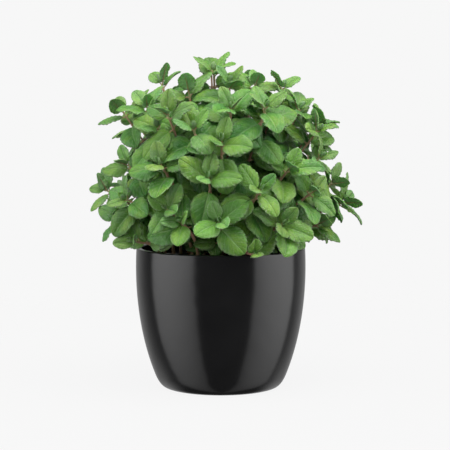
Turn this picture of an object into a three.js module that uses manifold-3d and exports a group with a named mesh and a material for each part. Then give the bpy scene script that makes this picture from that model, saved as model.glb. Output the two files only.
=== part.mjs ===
// A pot of mint: a glazed pot, the soil that fills it, and leafy stems that fan out of the soil.
// Millimetres, +Z up. The origin is the centre of the pot's flat foot, on the surface it stands on.
// -Y is the front of the plant. Each leafy stem is one solid: a square stem with its leaves.
import * as THREE from "three";
import { mergeVertices } from "three/addons/utils/BufferGeometryUtils.js";
import Module from "manifold-3d";

const wasm = await Module();
wasm.setup();

// The pot
const POT_RADIUS = 75.8;
const POT_HEIGHT = 125;
const POT_WIDEST_Z = 107; // height where the wall stands upright, a little below the rim
const POT_CURVE_HEIGHT = 152; // upright half-axis of the ellipse that the wall follows
const POT_FOOT_RADIUS = 48.5;
const POT_CORNER_HEIGHT = 13; // where the wall turns under to the foot
const POT_CORNER_SLACK = 4.8; // the turn is this much slacker than a full corner
const POT_WALL = 4.5;
const POT_FLOOR = 7;
const RIM_ROUND_OUT = 1.4; // the rim's outer edge is rounded over by this much
const RIM_ROUND_IN = 1;
const INSIDE_CORNER = 6; // and the inside's bottom corner by this much
const POT_SIDES = 32;
const WALL_RINGS = [32, 60, 92]; // heights where the outside's flat bands meet
const HOLLOW_RINGS = [50, 100]; // and the inside's

// The soil
const SOIL_DEPTH_BELOW_RIM = 11;
const SOIL_GAP = 0.6;
const SOIL_CROWN = 3; // the middle stands this much higher than the edge
const SOIL_LUMP = 0.9;
const SOIL_WAVES = [0.31, 0.27]; // radians of lump for each millimetre across and along
const SOIL_TOP_RINGS = [0.7, 0.38]; // shares of the pot's radius where the top's flat bands meet
const SOIL_SIDES = 16; // half of the sides of the pot, so that its corners line up with the wall's

// The stems
const STEM_HALF_BASE = 1.25; // half the side of the square stem at the soil
const STEM_HALF_TIP = 0.75;
const STEM_SUNK = 13; // depth of the stem's foot in the soil
const HOLE_GAP = 0.35;
const ROOT_CIRCLE = 59; // the outermost stems stand on this radius
const FULL_LEAN = 66; // degrees of lean at which a stem stands on that radius
const LEAN_BELOW = 8; // the lean is taken from this far below the soil's edge
const STEM_UPRIGHT = 0.42; // how far a stem pulls upwards, as a share of the way to its tip
const STEM_END_RUN = 0.3; // and how far its end pulls outwards
const FAN_BELOW = 75; // stem ends face away from a point this far below the bush's middle

// The leaves
const LEAF_LENGTHS = [17, 25, 29, 29, 27]; // from the bud down, before each leaf's own change
const LEAF_SPACING = [1.5, 5, 15, 31, 54]; // from the stem's end down to each pair
const LEAF_RAISE = [60, 44, 24, 8, 12]; // degrees above square to the stem
const LEAF_DROOP = [14, 30, 38, 44, 36]; // degrees the blade bends down from root to tip
const BARE_SHARE = 0.5; // this much of a stem, from the soil up, has no leaves
const LEAF_WIDTH_SHARE = 0.8;
const PETIOLE_LENGTH = 4.2; // at most: a small leaf's is a share of its length, and a little more
const PETIOLE_SHARE = 0.16;
const PETIOLE_LEAST = 1;
const ROOT_THICK = 1.3; // the leaf's root in the stem is an upright edge of this height
const ROOT_INSET = 0.25; // from the stem's middle
const BLADE_RIDGE = 1.4; // the blade is this thick along its midrib and slopes down to its margins
const FACE_OUT = [0.1, 0.75]; // least and most share of the way that a blade turns outwards and up
const FACE_LEVELS = [0.3, 0.8, 1, 1, 1]; // times this, as leaves at the tip still stand in the bud
const FACE_RISE = 0.9; // upward part of the direction it turns to, for one part outwards
const FACE_LIGHT = 0.9; // and its part towards the front, where the light comes from
const LEAF_LOWEST_Z = 125; // no leaf hangs lower over the rim
const CLEAR_GAP = 0.35; // least distance between two leafy stems
const ROOT_SHARE = 1.2; // cubic mm that the roots of two leaves on one stem may share
const SMOOTH_AWAY = 0.12; // corners that stand out by less than this are dropped after joining

// Half-widths along the blade, as shares of its widest: a blunt oval, widest above the middle.
const BLADE_STATIONS = [[0.1, 0.58], [0.43, 1], [0.81, 0.76]];
const SHORT_STATIONS = [[0.24, 0.85], [0.7, 0.95]]; // for the bud and the lowest pairs

// How much leaves differ: least and most, as a share of the value above or in degrees beside it.
const LEAF_SPREAD = {
  length: [0.86, 1.16],
  raise: [-13, 13],
  droop: [0.6, 1.3],
  roll: [-16, 16],
  swing: [-9, 9],
  width: [0.92, 1.08],
};

// A leaf that meets another is swayed by these steps, in degrees, and then made smaller.
const SWAY_STEPS = [10, 20, 32];
const SWAY_SIZES = [1, 0.84, 0.68];

// The whole bush, as a radius at each height
const BUSH_RADIUS = 101;
const BUSH_MIDDLE_Z = 182;
const BUSH_HALF_HEIGHT = 106;
const BUSH_SQUARENESS = 2.5;
const BUSH_LOOK_Z = 160; // the other stems' ends are spread evenly as seen from here

// Where the stems that are seen from the front end: across, up, and how far forward as a share of
// the way from the middle to the bush's surface.
const FRONT_TIPS = [
  [-6, 281, 0.1], [-28, 263, 0.2], [30, 269, 0.35], [54, 266, 0.2], [-86, 245, 0.15],
  [86, 236, 0.3], [-102, 176, 0.1], [109, 165, 0.1], [8, 270, 0.45], [9, 249, 0.87],
  [-64, 250, 0.55], [-44, 244, 0.98], [38, 250, 0.9], [69, 247, 0.35], [-22, 232, 0.93],
  [-53, 233, 0.75], [84, 229, 0.65], [1, 222, 0.96], [-50, 202, 0.93], [58, 198, 0.77],
  [86, 206, 0.6], [-10, 192, 0.96], [-80, 200, 0.6], [33, 182, 0.96], [79, 178, 0.9],
  [-80, 172, 0.95], [-1, 156, 0.98], [-45, 165, 0.94], [98, 182, 0.3], [87, 148, 0.5],
  [52, 152, 0.9], [-33, 155, 0.95], [-73, 135, 0.88], [-90, 153, 0.5], [56, 147, 0.85],
  [28, 127, 0.96],
];

// The other stems end at golden-ratio steps round the bush, where no listed stem ends close by.
const OTHER_TIPS = 52;
const OTHER_LOWEST = -0.12; // sine of the angle above the bush's middle at which they start
const OTHER_FRONT_Y = -20; // and how far forward they may come
const OTHER_DEPTH = [0.9, 1.02]; // least and most share of the way to the bush's surface
const TIP_SPACING = 38;

const SEED = 69;
const GOLDEN = (Math.sqrt(5) - 1) / 2;
const UP = new THREE.Vector3(0, 0, 1);

const radians = THREE.MathUtils.degToRad;
const mix = THREE.MathUtils.lerp;

// Mulberry32: the same row of numbers from 0 to 1 for the same seed.
function seededRandom(seed) {
  let state = seed >>> 0;
  return () => {
    state = (state + 0x6d2b79f5) >>> 0;
    let t = state;
    t = Math.imul(t ^ (t >>> 15), t | 1);
    t ^= t + Math.imul(t ^ (t >>> 7), t | 61);
    return ((t ^ (t >>> 14)) >>> 0) / 4294967296;
  };
}

// A closed three.js geometry as a solid that can be joined, cut and measured.
function solidOf(geometry) {
  const bare = geometry.clone();
  bare.deleteAttribute("normal");
  bare.deleteAttribute("uv");
  const merged = mergeVertices(bare, 1e-4);
  return new wasm.Manifold(
    new wasm.Mesh({
      numProp: 3,
      vertProperties: new Float32Array(merged.attributes.position.array),
      triVerts: new Uint32Array(merged.index.array),
    }),
  );
}

// The largest body of a solid, without the tiny pockets that are shut in where leaf roots meet.
function oneBody(solid) {
  const bodies = solid.decompose();
  const largest = bodies.reduce((best, body) => (body.volume() > best.volume() ? body : best));
  return largest.asOriginal().simplify(SMOOTH_AWAY);
}

function geometryOf(solid) {
  const mesh = solid.getMesh();
  const points = new Float32Array(mesh.numVert * 3);
  for (let i = 0; i < mesh.numVert; i++) {
    points.set(mesh.vertProperties.subarray(i * mesh.numProp, i * mesh.numProp + 3), i * 3);
  }
  const geometry = new THREE.BufferGeometry();
  geometry.setAttribute("position", new THREE.BufferAttribute(points, 3));
  geometry.setIndex(new THREE.BufferAttribute(new Uint32Array(mesh.triVerts), 1));
  geometry.computeVertexNormals();
  return geometry;
}

function piece(name, solid, colour, roughness) {
  const material = new THREE.MeshStandardMaterial({ color: colour, roughness, metalness: 0 });
  const mesh = new THREE.Mesh(geometryOf(solid), material);
  mesh.name = name;
  return mesh;
}

// The outside of the pot's wall: an ellipse, widest a little below the rim, that draws in to the foot.
function potRadius(z) {
  const share = (POT_WIDEST_Z - z) / POT_CURVE_HEIGHT;
  return POT_RADIUS * Math.sqrt(1 - share * share);
}

// Points of a profile turned round Z, for LatheGeometry, which turns round its own Y.
function turned(profile, sides) {
  const geometry = new THREE.LatheGeometry(
    profile.map(([r, z]) => new THREE.Vector2(r, z)),
    sides,
  );
  return geometry.rotateX(Math.PI / 2);
}

function makePot() {
  const outside = [[0, 0], [POT_FOOT_RADIUS, 0]];
  const wallFoot = potRadius(POT_CORNER_HEIGHT);
  const corner = new THREE.QuadraticBezierCurve(
    new THREE.Vector2(POT_FOOT_RADIUS, 0),
    new THREE.Vector2(wallFoot - POT_CORNER_SLACK, 0),
    new THREE.Vector2(wallFoot, POT_CORNER_HEIGHT),
  );
  for (const p of corner.getPoints(2).slice(1)) {
    outside.push([p.x, p.y]);
  }
  for (const z of [...WALL_RINGS, POT_HEIGHT - RIM_ROUND_OUT]) {
    outside.push([potRadius(z), z]);
  }
  const rim = [
    [potRadius(POT_HEIGHT) - RIM_ROUND_OUT, POT_HEIGHT],
    [potRadius(POT_HEIGHT) - POT_WALL + RIM_ROUND_IN, POT_HEIGHT],
  ];
  const inside = hollowSide(0, POT_HEIGHT - RIM_ROUND_IN).reverse();
  return solidOf(turned([...outside, ...rim, ...inside, [0, POT_FLOOR]], POT_SIDES));
}

// The profile of the pot's hollow, from its floor up its wall to a height, drawn in by a gap.
function hollowSide(gap, topZ) {
  const heights = [POT_FLOOR + INSIDE_CORNER, ...HOLLOW_RINGS, topZ];
  const wall = heights.map((z) => [potRadius(z) - POT_WALL - gap, z]);
  return [[potRadius(POT_FLOOR) - POT_WALL - INSIDE_CORNER - gap, POT_FLOOR + gap], ...wall];
}

const soilEdgeZ = POT_HEIGHT - SOIL_DEPTH_BELOW_RIM;
const stemStartZ = soilEdgeZ + SOIL_CROWN + 1; // stems are upright below this, so they clear their holes

// The soil's top: highest in the middle, with low lumps where two waves meet.
function soilTop(x, y) {
  const reach = Math.hypot(x, y) / (POT_RADIUS - POT_WALL);
  const lumps = Math.sin(x * SOIL_WAVES[0] + 1) * Math.cos(y * SOIL_WAVES[1]) * SOIL_LUMP;
  return soilEdgeZ + SOIL_CROWN * (1 - reach * reach) + lumps * (1 - reach);
}

function makeSoil(shoots) {
  const bottom = [0, POT_FLOOR + SOIL_GAP];
  const side = hollowSide(SOIL_GAP, soilEdgeZ);
  const top = [...SOIL_TOP_RINGS, 0].map((share) => [share * potRadius(soilEdgeZ), soilEdgeZ]);
  const geometry = turned([bottom, ...side, ...top], SOIL_SIDES);
  const at = geometry.getAttribute("position");
  const edgeReach = potRadius(soilEdgeZ) - POT_WALL - SOIL_GAP;
  for (let i = 0; i < at.count; i++) {
    const inTop = Math.abs(at.getZ(i) - soilEdgeZ) < 0.01;
    const inside = Math.hypot(at.getX(i), at.getY(i)) < edgeReach - 1;
    if (inTop && inside) {
      at.setZ(i, soilTop(at.getX(i), at.getY(i)));
    }
  }
  const holes = shoots.map((shoot) => {
    const width = 2 * (STEM_HALF_BASE + HOLE_GAP);
    const box = new THREE.BoxGeometry(width, width, 2 * (STEM_SUNK + HOLE_GAP));
    box.rotateZ(shoot.azimuth);
    box.translate(shoot.root.x, shoot.root.y, soilEdgeZ);
    return solidOf(box);
  });
  return solidOf(geometry).subtract(wasm.Manifold.union(holes));
}

// The bush's radius at a height.
function bushRadius(z) {
  const share = Math.abs(z - BUSH_MIDDLE_Z) / BUSH_HALF_HEIGHT;
  return BUSH_RADIUS * Math.max(0, 1 - share ** BUSH_SQUARENESS) ** (1 / BUSH_SQUARENESS);
}

// The distance to the bush's surface from a point low on its axis, at a slope above level, found by
// halving the stretch that it lies in.
function surfaceReach(slope) {
  let inside = 0;
  let outside = 2 * (BUSH_RADIUS + BUSH_HALF_HEIGHT);
  while (outside - inside > 0.001) {
    const middle = (inside + outside) / 2;
    if (middle * Math.cos(slope) < bushRadius(BUSH_LOOK_Z + middle * Math.sin(slope))) {
      inside = middle;
    } else {
      outside = middle;
    }
  }
  return inside;
}

// Where every stem ends: the listed ones, then points at golden-ratio steps round and evenly spaced
// upwards, put on the bush's surface, that keep clear of the tips before them.
function stemTips(random) {
  const tips = FRONT_TIPS.map(([x, z, share]) => {
    const forward = Math.sqrt(Math.max(0, bushRadius(z) ** 2 - x * x));
    return new THREE.Vector3(x, -forward * share, z);
  });
  for (let i = 0; i < OTHER_TIPS; i++) {
    const turn = 2 * Math.PI * ((i * GOLDEN) % 1);
    const slope = Math.asin(mix(OTHER_LOWEST, 1, (i + 0.5) / OTHER_TIPS));
    const reach = surfaceReach(slope) * mix(...OTHER_DEPTH, random());
    const tip = new THREE.Vector3(
      reach * Math.cos(slope) * Math.cos(turn),
      reach * Math.cos(slope) * Math.sin(turn),
      BUSH_LOOK_Z + reach * Math.sin(slope),
    );
    const isFree = tips.every((other) => other.distanceTo(tip) > TIP_SPACING);
    if (tip.y > OTHER_FRONT_Y && isFree) {
      tips.push(tip);
    }
  }
  return tips;
}

// One stem: it rises straight from the soil, then bends out to its tip and ends facing outwards.
// The more it leans, the nearer to the pot's wall it stands, so stems spread without crossing.
function growStem(tip, random) {
  const reach = Math.hypot(tip.x, tip.y);
  const azimuth = Math.atan2(tip.y, tip.x);
  const lean = Math.atan2(reach, tip.z - soilEdgeZ + LEAN_BELOW);
  const rootReach = Math.min(ROOT_CIRCLE, (ROOT_CIRCLE * lean) / radians(FULL_LEAN));
  const out = new THREE.Vector3(Math.cos(azimuth), Math.sin(azimuth), 0);
  const root = out.clone().multiplyScalar(rootReach).setZ(stemStartZ);
  const outward = Math.atan2(reach, tip.z - BUSH_MIDDLE_Z + FAN_BELOW);
  const facing = UP.clone().multiplyScalar(Math.cos(outward)).addScaledVector(out, Math.sin(outward));
  const rise = root.distanceTo(tip);
  const curve = new THREE.CubicBezierCurve3(
    root,
    root.clone().addScaledVector(UP, rise * STEM_UPRIGHT),
    tip.clone().addScaledVector(facing, -rise * STEM_END_RUN),
    tip,
  );
  return { curve, root, azimuth, out, length: curve.getLength(), twist: random() * Math.PI };
}

// The two directions across the stem at one point, square to it: away from the pot, and level.
function across(shoot, direction) {
  const level = new THREE.Vector3(-shoot.out.y, shoot.out.x, 0);
  const away = level.clone().cross(direction).normalize();
  return [away, direction.clone().cross(away).normalize()];
}

// The bands between rings of corner points. They are split in mirrored pairs, so that a blade's two
// faces have the same triangles.
function bands(ringCount, sides, first) {
  const faces = [];
  for (let k = 0; k + 1 < ringCount; k++) {
    for (let i = 0; i < sides; i++) {
      const a = first + k * sides + i;
      const b = first + k * sides + ((i + 1) % sides);
      if (i % 2 === 0) {
        faces.push([a, b, b + sides], [a, b + sides, a + sides]);
      } else {
        faces.push([a, b, a + sides], [b, b + sides, a + sides]);
      }
    }
  }
  return faces;
}

function surfaceOf(points, faces) {
  const geometry = new THREE.BufferGeometry().setFromPoints(points);
  geometry.setIndex(faces.flat());
  return solidOf(geometry);
}

// The pairs of leaves that a stem is long enough for.
function pairsOf(shoot) {
  return LEAF_SPACING.filter((spacing) => spacing < shoot.length * (1 - BARE_SHARE));
}

// Where the stem's straight pieces meet, as shares of its length: at the soil, half-way to its
// lowest pair of leaves, at every pair but the top two, and at its tip.
function stemStations(shoot) {
  const nodes = pairsOf(shoot).slice(2).map((spacing) => 1 - spacing / shoot.length).reverse();
  return [0, nodes[0] / 2, ...nodes, 1];
}

function stemSolid(shoot) {
  const rings = [];
  const ringAt = (centre, direction, half) => {
    const [away, level] = across(shoot, direction);
    return [[1, 1], [-1, 1], [-1, -1], [1, -1]].map(([a, b]) =>
      centre.clone().addScaledVector(away, a * half).addScaledVector(level, b * half),
    );
  };
  rings.push(ringAt(shoot.root.clone().setZ(soilEdgeZ - STEM_SUNK), UP, STEM_HALF_BASE));
  for (const t of stemStations(shoot)) {
    const direction = t === 0 ? UP : shoot.curve.getTangentAt(t);
    rings.push(ringAt(shoot.curve.getPointAt(t), direction, mix(STEM_HALF_BASE, STEM_HALF_TIP, t)));
  }
  const last = 4 * (rings.length - 1);
  const caps = [[0, 2, 1], [0, 3, 2], [last, last + 1, last + 2], [last, last + 2, last + 3]];
  return surfaceOf(rings.flat(), [...bands(rings.length, 4, 0), ...caps]);
}

// A leaf's own numbers, drawn once, so that trying it in several places draws nothing more.
function leafTraits(level, random) {
  const draw = (range) => mix(...range, random());
  return {
    length: LEAF_LENGTHS[level] * draw(LEAF_SPREAD.length),
    raise: LEAF_RAISE[level] + draw(LEAF_SPREAD.raise),
    droop: LEAF_DROOP[level] * draw(LEAF_SPREAD.droop),
    roll: draw(LEAF_SPREAD.roll),
    swing: draw(LEAF_SPREAD.swing),
    width: LEAF_WIDTH_SHARE * draw(LEAF_SPREAD.width),
    faceOut: FACE_LEVELS[level] * draw(FACE_OUT),
  };
}

// One leaf as a closed solid. The midrib is an arc that bends down. Each cross-section is a low
// triangle: flat below, with its ridge on the midrib and its two lower corners on the margins.
function leafSolid(shoot, level, side, traits, sway) {
  const at = 1 - LEAF_SPACING[level] / shoot.length;
  const centre = shoot.curve.getPointAt(at);
  const stemward = shoot.curve.getTangentAt(at);
  const [away, levelWay] = across(shoot, stemward);
  const turn = shoot.twist + level * (Math.PI / 2) + side * Math.PI + radians(traits.swing + sway.swing);
  const outward = away.clone().multiplyScalar(Math.cos(turn)).addScaledVector(levelWay, Math.sin(turn));
  const raise = radians(traits.raise + sway.raise);
  const along = outward.clone().multiplyScalar(Math.cos(raise)).addScaledVector(stemward, Math.sin(raise));
  const roll = radians(traits.roll);
  const flat = stemward.clone().cross(outward).normalize();
  const top = along.clone().cross(flat).normalize();
  const wide = flat.clone().multiplyScalar(Math.cos(roll)).addScaledVector(top, Math.sin(roll));
  const normal = along.clone().cross(wide).normalize();
  const facing = new THREE.Vector3(centre.x, centre.y, 0).normalize();
  facing.add(new THREE.Vector3(0, -FACE_LIGHT, FACE_RISE)).normalize();
  const hinge = normal.clone().cross(facing).normalize();
  const turning = normal.angleTo(facing) * traits.faceOut;
  for (const direction of [along, wide, normal]) {
    direction.applyAxisAngle(hinge, turning);
  }
  const length = traits.length * sway.size;
  const droop = radians(traits.droop);
  const petiole = Math.min(PETIOLE_LENGTH, PETIOLE_SHARE * length + PETIOLE_LEAST);
  const start = centre.clone().addScaledVector(along, petiole);

  // The midrib point and the blade's normal there, s from 0 at the blade's base to 1 at its tip.
  const midrib = (s) => {
    const bend = droop * s;
    const forward = (length * Math.sin(bend)) / droop;
    const down = (length * (1 - Math.cos(bend))) / droop;
    const point = start.clone().addScaledVector(along, forward).addScaledVector(normal, -down);
    const up = normal.clone().multiplyScalar(Math.cos(bend)).addScaledVector(along, Math.sin(bend));
    return [point, up];
  };
  const halfWidth = (length * traits.width) / 2;
  const stations = level === 0 || level > 2 ? SHORT_STATIONS : BLADE_STATIONS;
  const rings = stations.map(([s, share]) => {
    const [point, up] = midrib(s);
    return [
      point.clone().addScaledVector(wide, halfWidth * share),
      point.clone().addScaledVector(up, BLADE_RIDGE),
      point.clone().addScaledVector(wide, -halfWidth * share),
    ];
  });
  const root = [1, -1].map((k) =>
    centre.clone().addScaledVector(along, ROOT_INSET).addScaledVector(normal, (k * ROOT_THICK) / 2),
  );
  // The root is an upright edge, points 0 and 1. The first ring's corners are points 2 to 4.
  const rootFaces = [[0, 3, 2], [0, 4, 3], [1, 2, 4], [0, 2, 1], [1, 4, 0]];
  const last = 2 + 3 * (rings.length - 1);
  const tipFaces = [0, 1, 2].map((i) => [last + i, last + ((i + 1) % 3), last + 3]);
  const points = [...root, ...rings.flat(), midrib(1)[0]];
  return surfaceOf(points, [...rootFaces, ...bands(rings.length, 3, 2), ...tipFaces]);
}

// The places a leaf tries in turn, as its neighbours push it: as it grew, then raised or swung by
// more and more, then smaller.
function leafSways() {
  const turns = [[0, 0]];
  for (const step of SWAY_STEPS) {
    turns.push([step, 0], [-step, 0], [0, step], [0, -step]);
    turns.push([step, step], [-step, step], [step, -step], [-step, -step]);
  }
  return SWAY_SIZES.flatMap((size) => turns.map(([raise, swing]) => ({ raise, swing, size })));
}

const boxesNear = (a, b, gap) =>
  [0, 1, 2].every((k) => a.min[k] - gap < b.max[k] && b.min[k] - gap < a.max[k]);

// True if a solid keeps the gap to all that isn't its own stem's, and crosses no leaf that is.
function isClear(solid, box, owner, placed) {
  return placed.every((other) => {
    if (!boxesNear(box, other.box, CLEAR_GAP)) {
      return true;
    }
    if (other.owner !== owner) {
      return solid.minGap(other.solid, CLEAR_GAP) >= CLEAR_GAP;
    }
    return other.isStem || solid.intersect(other.solid).volume() < ROOT_SHARE;
  });
}

// Leaves are placed pair by pair from the buds down, over the whole bush, each in the first of its
// places that is clear of all that is there. A leaf that finds none is left out.
function placeLeaves(shoots, placed, random) {
  const sways = leafSways();
  LEAF_LENGTHS.forEach((_, level) => {
    shoots.forEach((shoot, owner) => {
      for (const side of [0, 1]) {
        const traits = leafTraits(level, random);
        const grows = level < pairsOf(shoot).length;
        for (const sway of grows ? sways : []) {
          const solid = leafSolid(shoot, level, side, traits, sway);
          const box = solid.boundingBox();
          if (box.min[2] > LEAF_LOWEST_Z && isClear(solid, box, owner, placed)) {
            placed.push({ solid, box, owner, isStem: false });
            break;
          }
          solid.delete();
        }
      }
    });
  });
}

const random = seededRandom(SEED);
const shoots = stemTips(random).map((tip) => growStem(tip, random));
const pot = makePot();
const soil = makeSoil(shoots);
const placed = shoots.map((shoot, owner) => {
  const solid = stemSolid(shoot);
  return { solid, box: solid.boundingBox(), owner, isStem: true };
});
for (const solid of [pot, soil]) {
  placed.push({ solid, box: solid.boundingBox(), owner: -1, isStem: false });
}
placeLeaves(shoots, placed, random);

const mint = new THREE.Group();
mint.add(piece("pot", pot, 0x17181a, 0.2));
mint.add(piece("soil", soil, 0x1d1612, 0.95));
shoots.forEach((_, owner) => {
  const own = placed.filter((p) => p.owner === owner).map((p) => p.solid);
  const name = `leafy_stem_${String(owner + 1).padStart(2, "0")}`;
  mint.add(piece(name, oneBody(wasm.Manifold.union(own)), 0x5d9a3c, 0.55));
});

export default mint;
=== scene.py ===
# %% [markdown]
# # A pot of mint
# A mint plant in a black glazed pot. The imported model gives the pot, the soil and the leafy stems as
# plain solids at their real size. This script dresses them: it turns a smooth pot, crumbles the
# soil, and grows every leaf again with its veins, its waved margin and its petiole, in the place
# where the solid has it. The plant's lengths are in millimetres and become metres in `make_piece`.

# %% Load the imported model
import math
from functools import partial
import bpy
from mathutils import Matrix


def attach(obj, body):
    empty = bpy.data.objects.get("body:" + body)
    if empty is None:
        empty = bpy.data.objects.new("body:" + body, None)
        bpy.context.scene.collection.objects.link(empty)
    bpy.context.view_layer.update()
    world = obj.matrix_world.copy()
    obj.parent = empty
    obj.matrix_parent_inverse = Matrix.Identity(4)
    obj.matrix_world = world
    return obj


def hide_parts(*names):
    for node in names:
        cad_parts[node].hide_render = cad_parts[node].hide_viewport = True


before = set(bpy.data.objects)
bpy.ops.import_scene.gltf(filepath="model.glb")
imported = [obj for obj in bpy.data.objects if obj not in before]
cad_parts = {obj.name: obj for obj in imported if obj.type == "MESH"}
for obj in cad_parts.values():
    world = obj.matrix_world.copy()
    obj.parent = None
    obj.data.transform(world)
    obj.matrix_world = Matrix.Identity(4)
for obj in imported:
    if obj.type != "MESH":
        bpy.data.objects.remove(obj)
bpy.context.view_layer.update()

from types import SimpleNamespace

import bpy
import numpy as np

MM = 0.001
print("nodes in the model:", len(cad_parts))

# %% [markdown]
# ## Small helpers
# Blender can make shapes from ready primitives and modifiers, or from bare points and faces. The
# pieces here follow formulas, so they are worked out as numpy arrays and handed over whole. Every
# piece is a tube: rings of points one after the other, closed at both ends by a flat face.


# %% From arrays to a piece
def full_turn(count):
    """Angles that share a full turn evenly."""
    return np.arange(count) * 2 * np.pi / count


def together(*coordinates):
    """Arrays of x, y and so on as one array of points, which has the coordinates in its last axis."""
    return np.stack(np.broadcast_arrays(*coordinates), axis=-1)


def add_object(name, data):
    """A new object at the origin of the scene."""
    made = bpy.data.objects.new(name, data)
    bpy.context.scene.collection.objects.link(made)
    return made


def tube_faces(rings, around):
    """The faces of one tube: four-sided faces between neighbouring rings, and one face at each end.
    Point k of ring i has number i * around + k, and rings run the way that makes faces look out."""
    ring, k = np.meshgrid(np.arange(rings - 1), np.arange(around), indexing="ij")
    here = ring * around + k
    beside = ring * around + (k + 1) % around
    quads = np.stack([here, beside, beside + around, here + around], axis=-1).reshape(-1, 4)
    first = np.arange(around)[::-1]
    return quads, [first, first[::-1] + (rings - 1) * around]


def make_piece(name, tubes, materials):
    """One mesh from a list of tubes. A tube has points (rings, around, 3) in mm, a uv and a look for
    each point, and the number of its material."""
    points, uvs, looks, corners, sizes, material_numbers = [], [], [], [], [], []
    count = 0
    for tube in tubes:
        rings, around = tube.points.shape[:2]
        quads, ends = tube_faces(rings, around)
        points.append(tube.points.reshape(-1, 3))
        uvs.append(tube.uv.reshape(-1, 2))
        looks.append(tube.look.reshape(-1, 3))
        corners += [quads.ravel() + count] + [end + count for end in ends]
        sizes += [np.full(len(quads), 4), [around, around]]
        material_numbers.append(np.full(len(quads) + 2, tube.material))
        count += rings * around
    corners, sizes = np.concatenate(corners), np.concatenate(sizes)
    mesh = bpy.data.meshes.new(name)
    mesh.vertices.add(count)
    mesh.vertices.foreach_set("co", (np.concatenate(points) * MM).astype(np.float32).ravel())
    mesh.loops.add(len(corners))
    mesh.loops.foreach_set("vertex_index", corners.astype(np.int32))
    mesh.polygons.add(len(sizes))
    mesh.polygons.foreach_set("loop_start", (np.cumsum(sizes) - sizes).astype(np.int32))
    mesh.polygons.foreach_set("material_index", np.concatenate(material_numbers).astype(np.int32))
    mesh.polygons.foreach_set("use_smooth", np.ones(len(sizes), dtype=bool))
    mesh.update(calc_edges=True)
    uv_map = mesh.uv_layers.new(name="surface")
    uv_map.data.foreach_set("uv", np.concatenate(uvs)[corners].astype(np.float32).ravel())
    look = mesh.attributes.new("look", "FLOAT_COLOR", "POINT")
    rgba = np.ones((count, 4), dtype=np.float32)
    rgba[:, :3] = np.concatenate(looks)
    look.data.foreach_set("color", rgba.ravel())
    for material in materials:
        mesh.materials.append(material)
    piece = add_object(name, mesh)
    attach(piece, "root")
    return piece


def tube_of(points, uv=(0, 0), look=(0, 0, 0), material=0):
    """A tube's arrays. Each of uv and look may be one value for the whole tube."""
    shape = points.shape[:2]
    uv = np.broadcast_to(uv, shape + (2,))
    look = np.broadcast_to(look, shape + (3,))
    return SimpleNamespace(points=points, uv=uv, look=look, material=material)


print("a ring tube of 3 by 4 points has", len(tube_faces(3, 4)[0]), "sides")


# %% Colours and nodes
def linear(hex_colour):
    """An sRGB hex colour as linear red, green, blue and a full alpha."""
    parts = np.array([int(hex_colour[i : i + 2], 16) / 255 for i in (1, 3, 5)])
    light = np.where(parts <= 0.04045, parts / 12.92, ((parts + 0.055) / 1.055) ** 2.4)
    return (*light.tolist(), 1.0)


def set_stops(ramp, stops):
    """Gives a colour ramp its (place, hex colour) stops."""
    while len(ramp.elements) < len(stops):
        ramp.elements.new(0.5)
    for element, (place, hex_colour) in zip(ramp.elements, stops):
        element.position = place
        element.color = linear(hex_colour)


def add(tree, kind, *values, inputs=None, stops=None, **settings):
    """Adds one node with its settings, and its colour stops if it is a ramp. Values fill its inputs in
    their order, and `inputs` fills them by name or number. A socket is linked, and so is a node, by
    the first output that it has in use. A hex colour is turned to linear."""
    node = tree.nodes.new("ShaderNode" + kind)
    for key, value in settings.items():
        setattr(node, key, value)
    if stops:
        set_stops(node.color_ramp, stops)
    for key, value in {**dict(enumerate(values)), **(inputs or {})}.items():
        if isinstance(value, bpy.types.Node):
            value = next(output for output in value.outputs if output.enabled)
        if isinstance(value, bpy.types.NodeSocket):
            tree.links.new(value, node.inputs[key])
        else:
            node.inputs[key].default_value = linear(value) if isinstance(value, str) else value
    return node


def node_adder(owner):
    """Empties the node tree of a new material or world, and gives `add` for that tree."""
    owner.use_nodes = True
    owner.node_tree.nodes.clear()
    return partial(add, owner.node_tree)


def new_material(name):
    """A new material with no nodes yet, and `add` for its tree."""
    material = bpy.data.materials.new(name)
    return material, node_adder(material)


# settings that many nodes share: an S-shaped rise, and a mix of two colours by inputs 6 and 7
SMOOTH = {"interpolation_type": "SMOOTHSTEP"}
COLOURS = {"data_type": "RGBA"}
print("mid grey in linear light:", round(linear("#808080")[0], 3))

# %% [markdown]
# ## The camera
# The two ends of the pot give the camera away: the rim and the foot look like ellipses, and how
# round each is tells how high the camera stands and how far it is. It is a long lens, 1.45 m in
# front of the pot, about twice as high as the rim and tilted down by 4.9 degrees.

# %% Camera
CAMERA_PLACE = (3.8, -1450, 268)
CAMERA_TILT_DOWN = 4.86
SENSOR_WIDTH = 36
FOCAL_PIXELS = 1630
PHOTO_WIDTH_PIXELS = 450

camera = add_object("camera", bpy.data.cameras.new("camera"))
camera.data.sensor_width = SENSOR_WIDTH
camera.data.lens = FOCAL_PIXELS / PHOTO_WIDTH_PIXELS * SENSOR_WIDTH
camera.location = [place * MM for place in CAMERA_PLACE]
camera.rotation_euler = (math.radians(90 - CAMERA_TILT_DOWN), 0, 0)
bpy.context.scene.camera = camera
print("lens", round(camera.data.lens, 1), "mm")

# %% [markdown]
# ## The pot
# A cover pot of this kind is cast in a mould and dipped in glaze. Its wall follows one long curve,
# widest a little below the rim and drawn in to the foot, and the glaze rounds the lip. In Blender it
# could be a Screw or Spin modifier on a profile. Here the profile is a list of curves, and each of
# its points is turned into a ring with sine and cosine.

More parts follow.
